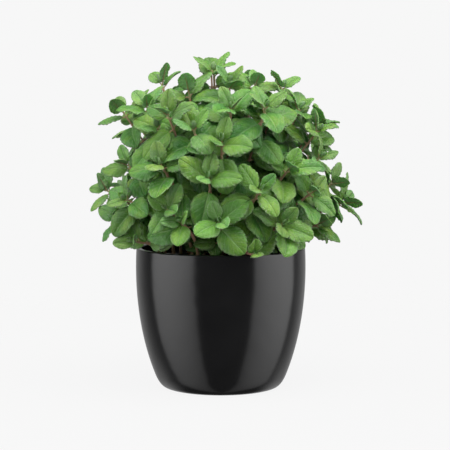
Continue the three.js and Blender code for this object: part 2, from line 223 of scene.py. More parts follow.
# %% The pot's profile
POT_RADIUS = 75.8
POT_HEIGHT = 125
POT_WIDEST_Z = 107
POT_CURVE_HEIGHT = 152
POT_FOOT_RADIUS = 48.5
POT_CORNER_HEIGHT = 13
POT_CORNER_SLACK = 4.8
POT_WALL = 4.5
POT_FLOOR = 7
RIM_ROUND_OUT = 1.4
RIM_ROUND_IN = 1
INSIDE_CORNER = 6
CORNER_POINTS = 12
LIP_POINTS = 8
OUTSIDE_POINTS = 44
INSIDE_POINTS = 30


def pot_radius(z):
    """The wall's outer radius at a height: the square root of one minus the squared share of the
    height below the widest place, as on an ellipse."""
    return POT_RADIUS * np.sqrt(1 - ((POT_WIDEST_Z - z) / POT_CURVE_HEIGHT) ** 2)


def bent(start, corner, end, steps):
    """Points on the curve from start to end that bends towards the corner: the three are weighted by
    (1 - t)^2, 2 t (1 - t) and t^2."""
    t = np.linspace(0, 1, steps)[:, None]
    start, corner, end = map(np.array, (start, corner, end))
    return start * (1 - t) ** 2 + 2 * corner * t * (1 - t) + end * t**2


def wall(inset, low, high, steps):
    """Points up the wall, drawn in by the inset."""
    z = np.linspace(low, high, steps)
    return np.column_stack([pot_radius(z) - inset, z])


def turned(profile, around):
    """A profile turned about Z: each of its points (r, z) becomes a ring (r cos a, r sin a, z)."""
    angle = full_turn(around)
    r, z = profile[:, :1], profile[:, 1:]
    return together(r * np.cos(angle), r * np.sin(angle), z)


def pot_profile():
    """From the foot, up the outside, over the lip, down the inside and in across the floor."""
    outside = wall(0, POT_CORNER_HEIGHT, POT_HEIGHT - RIM_ROUND_OUT, OUTSIDE_POINTS)
    inside = wall(POT_WALL, POT_FLOOR + INSIDE_CORNER, POT_HEIGHT - RIM_ROUND_IN, INSIDE_POINTS)[::-1]
    foot_bend = (outside[0][0] - POT_CORNER_SLACK, 0)
    foot_corner = bent((POT_FOOT_RADIUS, 0), foot_bend, outside[0], CORNER_POINTS)
    top = pot_radius(POT_HEIGHT)
    lip_out = bent(outside[-1], (top, POT_HEIGHT), (top - RIM_ROUND_OUT, POT_HEIGHT), LIP_POINTS)
    inner_top = top - POT_WALL
    lip_start = (inner_top + RIM_ROUND_IN, POT_HEIGHT)
    lip_in = bent(lip_start, (inner_top, POT_HEIGHT), inside[0], LIP_POINTS)
    floor_edge = (pot_radius(POT_FLOOR) - POT_WALL - INSIDE_CORNER, POT_FLOOR)
    floor_corner = bent(inside[-1], (inside[-1][0] - 1, POT_FLOOR), floor_edge, LIP_POINTS)
    parts = [foot_corner, outside[1:], lip_out[1:], lip_in, inside[1:], floor_corner[1:]]
    return np.concatenate(parts)


print("pot profile points:", len(pot_profile()))

# %% [markdown]
# ### Black glaze
# Glossy stoneware glaze: a layer of coloured glass melted onto the clay. It is almost black, so what
# the eye sees is mostly what it mirrors. The glaze is not quite flat: it ripples over a centimetre or
# so and has fine orange peel, and both go into the bump. The foot is wiped before firing, so
# the clay shows there, matt and grey.

# %% Glaze material
GLAZE_POOL_MM = 30
GLAZE_RIPPLE_MM = 14
GLAZE_RIPPLE_HEIGHT = 0.25 * MM
GLAZE_PEEL_MM = 1.6
GLAZE_PEEL_HEIGHT = 0.02 * MM
FOOT_WIPED_MM = 0.25
CLAY_ROUGHNESS = 0.75
GLAZE_ROUGHNESS = 0.16
GLAZE_IOR = 1.52


def glazed_stoneware():
    """Near-black glaze that pools a little darker and lighter, and bare clay below the wiped line."""
    material, node = new_material("black_glazed_stoneware")
    place = node("TexCoord").outputs["Object"]
    height = node("SeparateXYZ", place).outputs["Z"]
    glazed = node("Math", height, FOOT_WIPED_MM * MM, operation="GREATER_THAN")
    pooled, ripple, peel = (
        node("TexNoise", inputs={"Vector": place, "Scale": 1000 / size, "Detail": detail})
        for size, detail in ((GLAZE_POOL_MM, 3), (GLAZE_RIPPLE_MM, 1), (GLAZE_PEEL_MM, 2))
    )
    glaze = node("ValToRGB", pooled, stops=[(0.3, "#171718"), (0.7, "#1e1e1f")])
    colour = node("Mix", inputs={0: glazed, 6: "#4a4643", 7: glaze}, **COLOURS)
    rough = node("MapRange", glazed, 0, 1, CLAY_ROUGHNESS, GLAZE_ROUGHNESS)
    broad = {"Height": ripple, "Distance": GLAZE_RIPPLE_HEIGHT, "Strength": 0.5}
    fine = {"Height": peel, "Distance": GLAZE_PEEL_HEIGHT, "Strength": 0.4}
    bumps = node("Bump", inputs={**fine, "Normal": node("Bump", inputs=broad)})
    looks = {"Base Color": colour, "Roughness": rough, "Normal": bumps, "IOR": GLAZE_IOR}
    node("OutputMaterial", node("BsdfPrincipled", inputs=looks))
    return material


# %% The pot as a piece
POT_AROUND = 192
pot = make_piece("glazed_pot", [tube_of(turned(pot_profile(), POT_AROUND))], [glazed_stoneware()])
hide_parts("pot")
print("pot faces:", len(pot.data.polygons))

# %% [markdown]
# ## The soil
# Peat-based potting soil: dark, moist, crumbly and a little higher in the middle. Its top is a
# surface worked out from layered waves that run in many directions, and loose crumbs lie on it.
# Displacement from a texture would do too, but a formula keeps the rim and the height exact.

# %% Soil surface
SOIL_EDGE_Z = POT_HEIGHT - 11
SOIL_CROWN = 3
SOIL_GAP = 0.15
SOIL_AROUND = 180
SOIL_CORNER_RINGS = 6
SOIL_SIDE_RINGS = 14
SOIL_TOP_RINGS = 76


def layered_waves(x, y, length, count, seed):
    """Lumps of about one length: the sum of cosine waves with random directions and starts, over the
    root of their number."""
    rng = np.random.default_rng(seed)
    angle, start, stretch = rng.uniform(0, 2 * np.pi, (3, count))
    pitch = 2 * np.pi / (length * (0.7 + 0.6 * stretch / (2 * np.pi)))
    waves = (x[..., None] * np.cos(angle) + y[..., None] * np.sin(angle)) * pitch + start
    return np.cos(waves).sum(axis=-1) / math.sqrt(count)


def soil_top(x, y):
    """Edge height, plus a low dome, plus lumps of 14, 5 and 2.4 mm that get lower at the wall."""
    reach = np.hypot(x, y) / (pot_radius(SOIL_EDGE_Z) - POT_WALL)
    dome = SOIL_CROWN * (1 - reach**2)
    lumps = (
        0.7 * layered_waves(x, y, 14, 9, 1)
        + 0.5 * np.abs(layered_waves(x, y, 5, 14, 2))
        + 0.3 * np.abs(layered_waves(x, y, 2.4, 18, 3))
    )
    return SOIL_EDGE_Z + dome + lumps * np.clip(6 * (1 - reach), 0.25, 1)


def soil_points():
    """From the bottom's edge up the side, then over the top to its middle, ring by ring."""
    inset = POT_WALL + SOIL_GAP
    floor_z = POT_FLOOR + SOIL_GAP
    side = wall(inset, POT_FLOOR + INSIDE_CORNER, SOIL_EDGE_Z - 1, SOIL_SIDE_RINGS)
    edge = (pot_radius(POT_FLOOR) - inset - INSIDE_CORNER, floor_z)
    low_corner = bent(edge, (side[0][0] - 1, floor_z), side[0], SOIL_CORNER_RINGS)
    radii = np.linspace(pot_radius(SOIL_EDGE_Z) - inset, 0.4, SOIL_TOP_RINGS)
    top = np.column_stack([radii, np.full(len(radii), SOIL_EDGE_Z)])
    rings = turned(np.concatenate([low_corner, side[1:], top]), SOIL_AROUND)
    crown = rings[-len(radii) :]
    crown[..., 2] = soil_top(crown[..., 0], crown[..., 1])
    return rings


top_heights = soil_points()[-SOIL_TOP_RINGS:, :, 2]
print("soil top between", round(float(top_heights.min()), 1), "and", round(float(top_heights.max()), 1), "mm")

# %% [markdown]
# ### Moist peat
# Peat and composted bark: brown-black, and matt because the light dies between its fibres. Grains
# and crumbs are one or two millimetres across. The grains show as patches of dark and lighter brown,
# and painted shade darkens the gaps between the crumbs.

# %% Soil material
PEAT_CRUMB_MM = 2.5
PEAT_CRUMB_HEIGHT = 0.8 * MM
PEAT_GRAIN_MM = 1.5
PEAT_GRAIN_HEIGHT = 0.6 * MM


def moist_peat():
    """Brown-black grains with painted shade in the gaps between crumbs, rough and hardly shining."""
    material, node = new_material("moist_peat")
    place = node("TexCoord").outputs["Object"]
    crumbs = node("TexVoronoi", inputs={"Vector": place, "Scale": 1000 / PEAT_CRUMB_MM})
    grain = node("TexNoise", inputs={"Vector": place, "Scale": 1000 / PEAT_GRAIN_MM, "Detail": 6})
    browns = [(0.3, "#0d0907"), (0.5, "#1c130d"), (0.64, "#33241a"), (0.75, "#57402e")]
    brown = node("ValToRGB", grain, stops=browns)
    # painted shade: each crumb darkens towards its edges, into the gaps between crumbs
    shade = node("ValToRGB", crumbs, stops=[(0.0, "#ffffff"), (0.9, "#6b6b6b")])
    colour = node("Mix", inputs={0: 1.0, 6: brown, 7: shade}, blend_type="MULTIPLY", **COLOURS)
    coarse = {"Height": crumbs, "Distance": PEAT_CRUMB_HEIGHT, "Strength": 0.8}
    fine = {"Height": grain, "Distance": PEAT_GRAIN_HEIGHT, "Strength": 0.9}
    bumps = node("Bump", inputs={**fine, "Normal": node("Bump", inputs=coarse, invert=True)})
    looks = {"Base Color": colour, "Normal": bumps, "Roughness": 0.92, "Specular IOR Level": 0.25}
    node("OutputMaterial", node("BsdfPrincipled", inputs=looks))
    return material


# %% Loose crumbs
CRUMB_COUNT = 420
CRUMB_RADII_MM = (0.5, 1.9)
CRUMB_RINGS = 5
CRUMB_AROUND = 6
CRUMB_POLE = 0.25
CRUMB_FLATNESS = 0.7
CRUMB_PUSH = (0.7, 1.2)
CRUMB_STRETCH = (0.6, 1.25)
MOSTLY_SMALL = 2.5
CLEAR_OF_WALL_MM = 2.5


def crumb_points(rng):
    """Rings of a rough little lump for every crumb: a sphere of few rings, each point pushed in or
    out at random, stretched, flattened and set on the soil."""
    tilt = np.linspace(CRUMB_POLE, np.pi - CRUMB_POLE, CRUMB_RINGS)[::-1]
    ball = turned(np.column_stack([np.sin(tilt), np.cos(tilt)]), CRUMB_AROUND)
    least, most = CRUMB_RADII_MM
    radius = least + (most - least) * rng.random(CRUMB_COUNT) ** MOSTLY_SMALL
    push = rng.uniform(*CRUMB_PUSH, (CRUMB_COUNT, CRUMB_RINGS, CRUMB_AROUND, 1))
    stretch = rng.uniform(*CRUMB_STRETCH, (CRUMB_COUNT, 1, 1, 3)) * (1, 1, CRUMB_FLATNESS)
    furthest = pot_radius(SOIL_EDGE_Z) - POT_WALL - CLEAR_OF_WALL_MM
    reach = furthest * np.sqrt(rng.random(CRUMB_COUNT))
    turn = rng.uniform(0, 2 * np.pi, CRUMB_COUNT)
    x, y = reach * np.cos(turn), reach * np.sin(turn)
    middle = np.column_stack([x, y, soil_top(x, y) + 0.25 * radius])
    return ball * push * stretch * radius[:, None, None, None] + middle[:, None, None]


peat = moist_peat()
soil = make_piece("potting_soil", [tube_of(soil_points())], [peat])
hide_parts("soil")
lumps = [tube_of(points) for points in crumb_points(np.random.default_rng(4))]
crumbs = make_piece("soil_crumbs", lumps, [peat])
print("soil faces:", len(soil.data.polygons), "crumb faces:", len(crumbs.data.polygons))

# %% [markdown]
# ## How the plant grows
# The solids were grown by a rule: listed stem ends in front, others spread evenly behind, and each
# stem a smooth curve from the soil to its end. The same rule with the same seed gives the same
# curves here. Reading them back from the solids' points would be possible, but a rule says
# more: it knows which way each leaf faces and where its midrib runs.

# %% The rule's sizes
STEM_HALF_BASE = 1.25
STEM_HALF_TIP = 0.75
STEM_SUNK = 13
ROOT_CIRCLE = 59
FULL_LEAN = 66
LEAN_BELOW = 8
STEM_UPRIGHT = 0.42
STEM_END_RUN = 0.3
FAN_BELOW = 75
STEM_START_Z = SOIL_EDGE_Z + SOIL_CROWN + 1

LEAF_LENGTHS = [17, 25, 29, 29, 27]
LEAF_SPACING = [1.5, 5, 15, 31, 54]
LEAF_RAISE = [60, 44, 24, 8, 12]
LEAF_DROOP = [14, 30, 38, 44, 36]
BARE_SHARE = 0.5
LEAF_WIDTH_SHARE = 0.8
PETIOLE_LENGTH = 4.2
PETIOLE_SHARE = 0.16
PETIOLE_LEAST = 1
FACE_OUT = (0.1, 0.75)
FACE_LEVELS = [0.3, 0.8, 1, 1, 1]
FACE_RISE = 0.9
FACE_LIGHT = 0.9
LENGTH_SPREAD = (0.86, 1.16)
RAISE_SPREAD = (-13, 13)
DROOP_SPREAD = (0.6, 1.3)
ROLL_SPREAD = (-16, 16)
SWING_SPREAD = (-9, 9)
WIDTH_SPREAD = (0.92, 1.08)
SWAY_STEPS = (10, 20, 32)
SWAY_SIZES = (1, 0.84, 0.68)

BUSH_RADIUS = 101
BUSH_MIDDLE_Z = 182
BUSH_HALF_HEIGHT = 106
BUSH_SQUARENESS = 2.5
BUSH_LOOK_Z = 160
FRONT_TIPS = [
    (-6, 281, 0.1), (-28, 263, 0.2), (30, 269, 0.35), (54, 266, 0.2), (-86, 245, 0.15),
    (86, 236, 0.3), (-102, 176, 0.1), (109, 165, 0.1), (8, 270, 0.45), (9, 249, 0.87),
    (-64, 250, 0.55), (-44, 244, 0.98), (38, 250, 0.9), (69, 247, 0.35), (-22, 232, 0.93),
    (-53, 233, 0.75), (84, 229, 0.65), (1, 222, 0.96), (-50, 202, 0.93), (58, 198, 0.77),
    (86, 206, 0.6), (-10, 192, 0.96), (-80, 200, 0.6), (33, 182, 0.96), (79, 178, 0.9),
    (-80, 172, 0.95), (-1, 156, 0.98), (-45, 165, 0.94), (98, 182, 0.3), (87, 148, 0.5),
    (52, 152, 0.9), (-33, 155, 0.95), (-73, 135, 0.88), (-90, 153, 0.5), (56, 147, 0.85),
    (28, 127, 0.96),
]
OTHER_TIPS = 52
OTHER_LOWEST = -0.12
OTHER_FRONT_Y = -20
OTHER_DEPTH = (0.9, 1.02)
TIP_SPACING = 38
SEED = 69
GOLDEN = (math.sqrt(5) - 1) / 2
print("listed stem ends:", len(FRONT_TIPS))


# %% Random numbers that repeat
def seeded_random(seed):
    """A row of numbers from 0 to 1 by the mulberry32 rule, which mixes a 32-bit counter."""
    state = seed
    mask = 0xFFFFFFFF

    def draw():
        nonlocal state
        state = (state + 0x6D2B79F5) & mask
        t = ((state ^ (state >> 15)) * (state | 1)) & mask
        t ^= (t + (((t ^ (t >> 7)) * (t | 61)) & mask)) & mask
        return (t ^ (t >> 14)) / (mask + 1)

    return draw


def mix(low, high, share):
    """A share of the way from low to high."""
    return low * (1 - share) + high * share


draw = seeded_random(SEED)


# %% Where the stems end
def bush_radius(z):
    """The bush's radius at a height: a squarish ellipse turned about Z."""
    share = abs(z - BUSH_MIDDLE_Z) / BUSH_HALF_HEIGHT
    return BUSH_RADIUS * max(0, 1 - share**BUSH_SQUARENESS) ** (1 / BUSH_SQUARENESS)


def surface_reach(slope):
    """The distance to the bush's surface at a slope above level, by halving the stretch it is in."""
    inside, outside = 0, 2 * (BUSH_RADIUS + BUSH_HALF_HEIGHT)
    while outside - inside > 0.001:
        middle = (inside + outside) / 2
        if middle * math.cos(slope) < bush_radius(BUSH_LOOK_Z + middle * math.sin(slope)):
            inside = middle
        else:
            outside = middle
    return inside


def stem_tips():
    """The listed ends, then golden-ratio steps round and even steps up, kept where there is room."""
    tips = [
        np.array([x, -share * math.sqrt(max(0, bush_radius(z) ** 2 - x * x)), z])
        for x, z, share in FRONT_TIPS
    ]
    for i in range(OTHER_TIPS):
        turn = 2 * math.pi * ((i * GOLDEN) % 1)
        slope = math.asin(mix(OTHER_LOWEST, 1, (i + 0.5) / OTHER_TIPS))
        reach = surface_reach(slope) * mix(*OTHER_DEPTH, draw())
        level = reach * math.cos(slope)
        tip = np.array(
            [level * math.cos(turn), level * math.sin(turn), BUSH_LOOK_Z + reach * math.sin(slope)]
        )
        is_free = all(np.linalg.norm(other - tip) > TIP_SPACING for other in tips)
        if tip[1] > OTHER_FRONT_Y and is_free:
            tips.append(tip)
    return tips


tips = stem_tips()
print("stems:", len(tips))

# %% [markdown]
# A stem is a cubic Bezier curve, as Blender's own curves are: two ends, and two handles that pull
# it upright at the soil and outwards at its end. Leaves sit at lengths measured along it, so a table
# of its length at 200 steps turns a share of the length into the curve's own parameter.

# %% Stems as curves
LENGTH_STEPS = 200
TANGENT_STEP = 0.0001


def unit(vectors):
    """Vectors divided by their own lengths."""
    return vectors / np.linalg.norm(vectors, axis=-1, keepdims=True)


def bezier(handles, t):
    """Each handle weighted by its share at t: (1-t)^3, 3(1-t)^2 t, 3(1-t) t^2 and t^3."""
    t = np.asarray(t, dtype=float)[..., None]
    weights = (1 - t) ** 3, 3 * (1 - t) ** 2 * t, 3 * (1 - t) * t**2, t**3
    return sum(weight * handle for weight, handle in zip(weights, handles))


def grow_stem(tip):
    """Straight up out of the soil, then out to its end. The more it leans, the nearer it stands to
    the pot's wall."""
    reach = math.hypot(tip[0], tip[1])
    azimuth = math.atan2(tip[1], tip[0])
    lean = math.atan2(reach, tip[2] - SOIL_EDGE_Z + LEAN_BELOW)
    root_reach = min(ROOT_CIRCLE, ROOT_CIRCLE * lean / math.radians(FULL_LEAN))
    out = np.array([math.cos(azimuth), math.sin(azimuth), 0])
    up = np.array([0, 0, 1])
    root = out * root_reach + up * STEM_START_Z
    outward = math.atan2(reach, tip[2] - BUSH_MIDDLE_Z + FAN_BELOW)
    facing = up * math.cos(outward) + out * math.sin(outward)
    rise = np.linalg.norm(tip - root)
    handles = [root, root + up * rise * STEM_UPRIGHT, tip - facing * rise * STEM_END_RUN, tip]
    steps = bezier(handles, np.linspace(0, 1, LENGTH_STEPS + 1))
    lengths = np.concatenate([[0], np.cumsum(np.linalg.norm(np.diff(steps, axis=0), axis=1))])
    twist = draw() * math.pi
    return SimpleNamespace(
        handles=handles, lengths=lengths, length=lengths[-1], root=root, out=out, twist=twist
    )


def on_stem(shoot, share):
    """The point at a share of the stem's length, and the stem's direction there."""
    t = np.interp(np.multiply(share, shoot.length), shoot.lengths, np.linspace(0, 1, LENGTH_STEPS + 1))
    after, before = np.minimum(t + TANGENT_STEP, 1), np.maximum(t - TANGENT_STEP, 0)
    return bezier(shoot.handles, t), unit(bezier(shoot.handles, after) - bezier(shoot.handles, before))


def across_stem(shoot, direction):
    """Two directions square to the stem: away from the pot, and level."""
    level = np.array([-shoot.out[1], shoot.out[0], 0])
    away = unit(np.cross(level, direction))
    return away, unit(np.cross(direction, away))


shoots = [grow_stem(tip) for tip in tips]
print("longest stem:", round(max(shoot.length for shoot in shoots)), "mm")

# %% [markdown]
# Mint leaves come in crossed pairs. In the solids each leaf tried a few places until it was clear
# of its neighbours, and some found none. Which place it took is read from the model: only the right
# one puts the leaf's tip on a corner of the solid.

# %% Leaf places
TIP_MATCH_MM = 0.03


def rotate(vectors, axis, angle):
    """Vectors turned about an axis (Rodrigues): v cos a + (axis x v) sin a + axis (axis.v)(1 - cos a)."""
    cos, sin = np.cos(angle)[:, None], np.sin(angle)[:, None]
    dot = (axis * vectors).sum(axis=1, keepdims=True)
    return vectors * cos + np.cross(axis, vectors) * sin + axis * dot * (1 - cos)


def sway_table():
    """Rows of raise, swing and size that a leaf tries in turn."""
    turns = [(0, 0)]
    for step in SWAY_STEPS:
        turns += [(step, 0), (-step, 0), (0, step), (0, -step)]
        turns += [(step, step), (-step, step), (step, -step), (-step, -step)]
    return np.array([(lift, swing, size) for size in SWAY_SIZES for lift, swing in turns], dtype=float)


def leaf_traits(level):
    """A leaf's own numbers, drawn in the order that the solids used."""
    return SimpleNamespace(
        length=LEAF_LENGTHS[level] * mix(*LENGTH_SPREAD, draw()),
        lift=LEAF_RAISE[level] + mix(*RAISE_SPREAD, draw()),
        droop=math.radians(LEAF_DROOP[level] * mix(*DROOP_SPREAD, draw())),
        roll=math.radians(mix(*ROLL_SPREAD, draw())),
        swing=mix(*SWING_SPREAD, draw()),
        width=LEAF_WIDTH_SHARE * mix(*WIDTH_SPREAD, draw()),
        face_out=FACE_LEVELS[level] * mix(*FACE_OUT, draw()),
    )


def leaf_frames(shoot, spacing, turn, traits, sways):
    """For every row of the sway table: the leaf's directions along, across and out of its blade, its
    length, and where it leaves the stem."""
    centre, stemward = on_stem(shoot, 1 - spacing / shoot.length)
    away, level_way = across_stem(shoot, stemward)
    angle = shoot.twist + turn + np.radians(traits.swing + sways[:, 1])[:, None]
    outward = away * np.cos(angle) + level_way * np.sin(angle)
    lift = np.radians(traits.lift + sways[:, 0])[:, None]
    along = outward * np.cos(lift) + stemward * np.sin(lift)
    flat = unit(np.cross(stemward, outward))
    top = unit(np.cross(along, flat))
    wide = flat * math.cos(traits.roll) + top * math.sin(traits.roll)
    normal = unit(np.cross(along, wide))
    outside = unit(np.array([centre[0], centre[1], 0]))
    facing = unit(outside + np.array([0, -FACE_LIGHT, FACE_RISE]))
    hinge = unit(np.cross(normal, facing))
    turning = np.arccos(np.clip(normal @ facing, -1, 1)) * traits.face_out
    along, wide, normal = (rotate(vectors, hinge, turning) for vectors in (along, wide, normal))
    return centre, along, wide, normal, traits.length * sways[:, 2]


def petiole_of(length):
    """A petiole's length: a share of the blade's and a little more, up to a full-grown one."""
    return np.minimum(PETIOLE_LENGTH, PETIOLE_SHARE * length + PETIOLE_LEAST)


def leaf_tips(frames, droop):
    """Where the midrib's arc ends: forward by the sine of its bend, down by one minus the cosine."""
    centre, along, _, normal, length = frames
    forward = petiole_of(length) + length * math.sin(droop) / droop
    down = length * (1 - math.cos(droop)) / droop
    return centre + along * forward[:, None] - normal * down[:, None]


def leaf_at(number, level, frames, place, traits):
    """One leaf: its stem, its level and its frame in one of the places that it tries."""
    centre, along, wide, normal, length = frames
    return SimpleNamespace(
        stem=number, level=level, centre=centre, along=along[place], wide=wide[place],
        normal=normal[place], length=length[place], droop=traits.droop, width=traits.width,
    )


def corners_of(node):
    """A node's corner points in mm."""
    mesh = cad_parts[node].data
    corners = np.empty(len(mesh.vertices) * 3, dtype=np.float32)
    mesh.vertices.foreach_get("co", corners)
    return np.unique(corners.reshape(-1, 3), axis=0).astype(float) / MM


def find_leaves():
    """Every leaf of the solids, as its frame in the one place where the solid has its tip."""
    sways = sway_table()
    corners = [corners_of(f"leafy_stem_{number + 1:02d}") for number in range(len(shoots))]
    found = []
    for level, spacing in enumerate(LEAF_SPACING):
        for number, shoot in enumerate(shoots):
            for side in (0, 1):
                traits = leaf_traits(level)
                if spacing >= shoot.length * (1 - BARE_SHARE):
                    continue
                turn = level * math.pi / 2 + side * math.pi
                frames = leaf_frames(shoot, spacing, turn, traits, sways)
                tip_points = leaf_tips(frames, traits.droop)
                gaps = np.linalg.norm(tip_points[:, None] - corners[number][None], axis=2).min(axis=1)
                place = int(gaps.argmin())
                if gaps[place] < TIP_MATCH_MM:
                    found.append(leaf_at(number, level, frames, place, traits))
    return found


leaves = find_leaves()
print("leaves found in the solids:", len(leaves))

# %% [markdown]
# ## One leaf
# A mint leaf is a thin blade, widest just above its base, with a blunt tip and a scalloped margin.
# The midrib lies in a groove, each half bulges a little, and the margin waves. In Blender a leaf is
# often one flat picture on a plane. Here it is a closed shape: each ring of the tube goes across the
# upper face and back across the lower one, so the blade has a real edge and no holes.

# %% The blade as a formula
BLADE_THICK_MM = 0.45
BLADE_WIDEST = 0.77
BLADE_BLUNTNESS = 0.59
TOOTH_DEPTH = 0.042
RINGS_IN_TOOTH = 3
TEETH_BETWEEN = (0.1, 0.97)
TWIST_ABOUT = 0.3
SIDE_VEINS = 6
VEIN_SLANT = 0.36
VEIN_BEND = 0.8
QUILT_MM = 0.36
GROOVE_MM = 0.4
GROOVE_HALF_WIDTH = 0.12
MARGIN_WAVES = 1.7
BLADE_OVER_MIDRIB_MM = 0.55
FULL_BLADE = SimpleNamespace(
    rings=31, above=[-1, -0.93, -0.75, -0.5, -0.27, -0.09, 0, 0.09, 0.27, 0.5, 0.75, 0.93, 1],
    below=[0.7, 0.3, 0, -0.3, -0.7],
)
INNER_BLADE = SimpleNamespace(rings=13, above=[-1, -0.8, -0.4, 0, 0.4, 0.8, 1], below=[0.5, 0, -0.5])
BUD_BLADE = SimpleNamespace(rings=12, above=[-1, -0.7, -0.25, 0, 0.25, 0.7, 1], below=[0.5, 0, -0.5])


def ring_order(grid):
    """Places round one ring, as (place across, +1 above or -1 below): over the top from right to left,
    then back beneath, so that faces look out."""
    above = np.column_stack([grid.above, np.ones(len(grid.above))])
    below = np.column_stack([grid.below, -np.ones(len(grid.below))])
    return np.concatenate([above, below])[::-1]


def blade_outline(s):
    """Half-width along the blade as a share of the widest: (4 p (1 - p)) to a power below one, which
    blunts both ends, where p is s to a power that moves the widest place towards the base."""
    p = s**BLADE_WIDEST
    return (4 * p * (1 - p)) ** BLADE_BLUNTNESS


def half_width(leaf, s):
    """Half of the blade's width in mm, for s from base to tip."""
    return leaf.length * leaf.width / 2 * blade_outline(s)


def midrib_at(leaf, s):
    """Points on the midrib's arc and the blade's direction up there, for s from base to tip."""
    start = leaf.centre + leaf.along * petiole_of(leaf.length)
    bend = (leaf.droop * s)[:, None]
    size = leaf.length / leaf.droop
    point = start + leaf.along * np.sin(bend) * size - leaf.normal * (1 - np.cos(bend)) * size
    return point, leaf.normal * np.cos(bend) + leaf.along * np.sin(bend)


def blade_points(leaf, grid, shape):
    """The blade's rings, twisted about the midrib. Height above the midrib = fold times distance from
    it, plus a bulge in each half, minus the midrib's groove, minus a shallow groove along every side
    vein, plus waves that grow towards the margin, minus a downturned margin and tip. Every third
    ring is drawn in, which notches the margin."""
    t = np.linspace(0, 1, grid.rings)
    # rings stand closer together near the base and the tip
    s = np.clip(0.5 * t + 0.5 * (0.5 - 0.5 * np.cos(np.pi * t)), 1e-4, 1 - 1e-4)[:, None]
    order = ring_order(grid)
    u, face = order[:, 0][None], order[:, 1][None]
    distance = np.abs(u)
    first, last = TEETH_BETWEEN
    notch = (np.arange(grid.rings) % RINGS_IN_TOOTH == 0)[:, None] * (s > first) * (s < last)
    half = half_width(leaf, s)
    reach = half * (1 - TOOTH_DEPTH * notch * distance**4)
    point, up = midrib_at(leaf, s[:, 0])
    angle = shape.twist * (s - TWIST_ABOUT)
    wide = leaf.wide * np.cos(angle) + up * np.sin(angle)
    up = up * np.cos(angle) - leaf.wide * np.sin(angle)
    vein = np.cos(2 * np.pi * SIDE_VEINS * (s - VEIN_SLANT * distance**VEIN_BEND))
    lift = (
        half * (shape.fold * distance + shape.bulge * (1 - (2 * distance - 1) ** 2))
        - GROOVE_MM * np.exp(-((u / GROOVE_HALF_WIDTH) ** 2)) * np.minimum(1, half / 3)
        - QUILT_MM * vein * np.minimum(1, 4 * distance) * np.minimum(1, half / 8)
        + half * shape.wave * u**2 * np.sin(2 * np.pi * MARGIN_WAVES * s + shape.phase + 1.4 * (u > 0))
        - half * shape.turned_down * distance**5
        - shape.curl * leaf.length * s**4
    )
    thick = BLADE_THICK_MM / 2 * np.clip(1.15 - distance**3, 0.2, 1) * np.minimum(1, half / 2)
    height = BLADE_OVER_MIDRIB_MM + lift + face * thick
    points = point[:, None] + wide[:, None] * (reach * u)[..., None] + up[:, None] * height[..., None]
    uv = together(0.5 + 0.5 * u, s)
    return points, uv, np.broadcast_to(face < 0, points.shape[:2])


print("points in a blade:", FULL_BLADE.rings * len(ring_order(FULL_BLADE)))

# %% [markdown]
# The petiole is the leaf's stalk. It leaves the stem thick, thins towards the blade and goes on under
# it as the midrib. It is a tube along a path, like a curve object with a round bevel.

# %% Petiole and midrib
PETIOLE_RADIUS_MM = 0.75
PETIOLE_AROUND = 6
PETIOLE_RADII = (1.25, 0.95, 0.85)
PETIOLE_RISE = 0.1
LEAST_STOUTNESS = 0.35
STOUTEST_AT_MM = 30
MIDRIB_POINTS = 9
MIDRIB_REACH = 0.86
MIDRIB_END = MIDRIB_REACH + 0.06
MIDRIB_RADIUS = 0.72
MIDRIB_THINNING = 0.8
MIDRIB_UNDER_MM = 0.25


def tube_along(path, side, up, radius, around):
    """Rings round a path: side cos a + up sin a, times the radius at each place."""
    angle = full_turn(around)
    circle = side[:, None] * np.cos(angle)[:, None] + up[:, None] * np.sin(angle)[:, None]
    return path[:, None] + circle * radius[:, None, None]


def petiole_points(leaf):
    """From inside the stem to the blade, then under the midrib with a radius that runs out."""
    steps = len(PETIOLE_RADII)
    stalk = np.linspace(0, petiole_of(leaf.length), steps + 1)[:-1, None]
    first = leaf.centre + leaf.along * stalk + leaf.normal * PETIOLE_RISE * stalk
    s = np.linspace(0, MIDRIB_REACH, MIDRIB_POINTS)
    point, up = midrib_at(leaf, s)
    under = point - up * MIDRIB_UNDER_MM
    path = np.concatenate([first, under])
    ups = np.concatenate([np.repeat(leaf.normal[None], steps, axis=0), up])
    sides = np.repeat(leaf.wide[None], len(path), axis=0)
    stout = PETIOLE_RADIUS_MM * min(1, LEAST_STOUTNESS + leaf.length / STOUTEST_AT_MM)
    thinning = MIDRIB_RADIUS * (1 - s / MIDRIB_END) ** MIDRIB_THINNING
    radius = stout * np.concatenate([PETIOLE_RADII, thinning])
    return tube_along(path, sides, ups, radius, PETIOLE_AROUND)


print("rings in a petiole and midrib:", len(petiole_points(leaves[0])))

# %% [markdown]
# ## The stems
# Mint stems are square, which tells the whole family apart. The corners are rounded, and the
# stem swells where each pair of leaves leaves it.

# %% Square stems
STEM_AROUND = 16
STEM_RING_MM = 3
CORNER_SHARPNESS = 5
JOINT_SWELL = 0.22
JOINT_HALF_LENGTH_MM = 1.6


